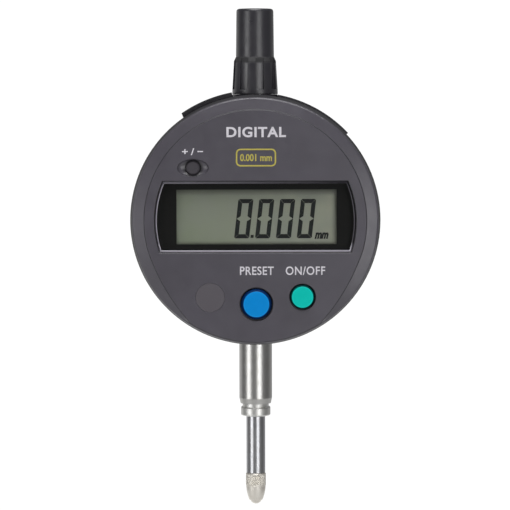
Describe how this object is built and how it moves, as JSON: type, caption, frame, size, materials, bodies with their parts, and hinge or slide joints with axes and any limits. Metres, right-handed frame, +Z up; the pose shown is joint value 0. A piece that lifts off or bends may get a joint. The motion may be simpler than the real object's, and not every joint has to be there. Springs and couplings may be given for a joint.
{
  "type": "digital indicator",
  "caption": "Round digital indicator with a display, keys, dust cap, clamping stem, lug back and a spring-loaded spindle with a ball contact point.",
  "frame": {"origin": "middle of the 8 mm stem's clamping length, on the spindle's axis", "axes": "+Z up along the spindle towards the dust cap, -Y out of the face towards the reader, +X to the reader's right"},
  "size_m": [0.06, 0.0381, 0.1211],
  "materials": {
    "case_grey": "fine matt dark grey paint",
    "rear_grey": "matt dark grey moulding",
    "blank_grey": "matt dark grey",
    "window_clear": "clear",
    "mask_black": "printed black",
    "inner_black": "moulded black",
    "display_glass": "clear with polarisers",
    "display_green": "satin grey-green",
    "rubber_grey": "soft",
    "rubber_black": "soft",
    "board_green": "solder resist",
    "chip_black": "moulded",
    "spring_steel": "bright drawn",
    "key_blue": "satin",
    "key_teal": "satin",
    "key_dark": "satin",
    "stem_steel": "ground",
    "bush_steel": "turned",
    "spindle_steel": "ground and polished",
    "contact_steel": "diamond knurled",
    "carbide": "polished",
    "cap_black": "satin black",
    "tray_black": "matt black",
    "cell_steel": "bright nickel",
    "flap_grey": "satin grey",
    "pin_gold": "gold plated",
    "alloy": "machined",
    "scale_glass": "copper on laminate",
    "screw_steel": "turned",
    "back_alloy": "matt dark grey paint"
  },
  "bodies": {
    "housing": {"front_case": "case_grey", "rear_case": "rear_grey", "blank_key": "blank_grey", "window_lens": "window_clear", "lcd_mask": "mask_black", "lcd_frame": "inner_black", "lcd_glass": "display_glass", "lcd_reflector": "display_green", "zebra_strips": "rubber_grey", "main_pcb": "board_green", "pcb_chips": "chip_black", "key_domes": "spring_steel", "stem": "stem_steel", "lower_bush": "bush_steel", "upper_bush": "bush_steel", "bumper_washer": "rubber_black", "battery_contact_neg": "spring_steel", "battery_contact_pos": "spring_steel", "data_socket": "inner_black", "socket_pins": "pin_gold", "encoder_head": "chip_black", "guide_rail": "alloy", "return_spring": "spring_steel", "spring_anchor": "bush_steel", "lug_back": "back_alloy", "back_screws": "screw_steel", "case_screws": "screw_steel", "pcb_screws": "screw_steel", "rail_screws": "screw_steel"},
    "spindle": {"spindle": "spindle_steel", "contact_holder": "contact_steel", "contact_ball": "carbide", "scale_carrier": "alloy", "encoder_scale": "scale_glass", "clamp_screw": "screw_steel", "guide_pin": "bush_steel", "spring_plug": "bush_steel"},
    "preset_key": {"preset_key": "key_blue"},
    "power_key": {"power_key": "key_teal"},
    "sign_key": {"sign_key": "key_dark"},
    "spindle_cap": {"spindle_cap": "cap_black"},
    "battery_tray": {"battery_tray": "tray_black", "battery_cell": "cell_steel"},
    "connector_cover": {"connector_cover": "flap_grey"}
  },
  "joints": [
    {"name": "spindle_slide", "type": "slide", "parent": "housing", "child": "spindle", "axis": [0, 0, 1], "range_m": [0, 0.0127], "stiffness_N_per_m": 55, "springref_m": -0.0145, "deforming": ["return_spring"]},
    {"name": "preset_press", "type": "slide", "parent": "housing", "child": "preset_key", "axis": [0, 1, 0], "range_m": [0, 0.0006], "stiffness_N_per_m": 400, "springref_m": -0.0006},
    {"name": "power_press", "type": "slide", "parent": "housing", "child": "power_key", "axis": [0, 1, 0], "range_m": [0, 0.0006], "stiffness_N_per_m": 400, "springref_m": -0.0006},
    {"name": "sign_press", "type": "slide", "parent": "housing", "child": "sign_key", "axis": [0, 1, 0], "range_m": [0, 0.0006], "stiffness_N_per_m": 400, "springref_m": -0.0006},
    {"name": "cap_lift", "type": "slide", "parent": "housing", "child": "spindle_cap", "axis": [0, 0, 1], "range_m": [0, 0.022]},
    {"name": "tray_slide", "type": "slide", "parent": "housing", "child": "battery_tray", "axis": [-0.3827, 0, 0.9239], "range_m": [0, 0.018]},
    {"name": "cover_pull", "type": "slide", "parent": "housing", "child": "connector_cover", "axis": [0.4787, 0, 0.878], "range_m": [0, 0.008]}
  ]
}
